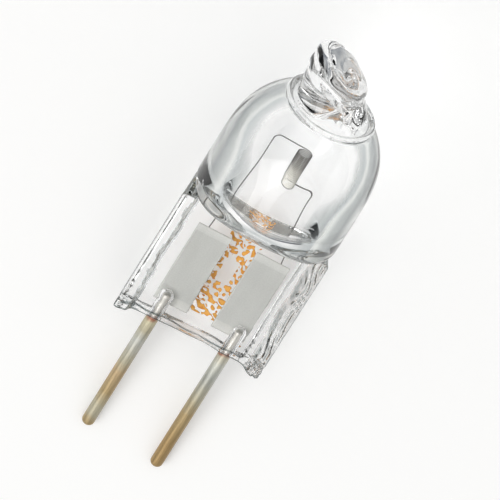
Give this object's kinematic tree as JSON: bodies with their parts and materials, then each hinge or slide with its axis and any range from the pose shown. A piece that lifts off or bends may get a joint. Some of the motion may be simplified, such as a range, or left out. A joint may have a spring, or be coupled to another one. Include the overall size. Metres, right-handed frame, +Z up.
{
  "type": "microwave bulb",
  "caption": "Clear quartz halogen capsule bulb for an oven, with a coiled filament, a flat pressed foot, a melted exhaust tip and a pair of push-in pins.",
  "frame": {"origin": "on the surface the lamp lies on, under the middle of its box", "axes": "+X from the pins' free ends towards the exhaust tip, level with the surface; +Z up, on the side of the press's front face; the lamp's own axis lies in the XZ plane and rises 13 degrees towards the tip"},
  "size_m": [0.0258, 0.0082, 0.0084],
  "materials": {
    "quartz": "clear, rippled where it was pressed",
    "pin_metal": "tarnished molybdenum, straw, brown and bluish in bands",
    "foil_metal": "matt grey molybdenum foil",
    "filament_metal": "drawn tungsten wire",
    "orange_ink": "thin fired print"
  },
  "bodies": {
    "root": {"glass_envelope": "quartz", "left_pin": "pin_metal", "right_pin": "pin_metal", "left_foil": "foil_metal", "right_foil": "foil_metal", "filament": "filament_metal", "marking": "orange_ink"}
  },
  "joints": []
}
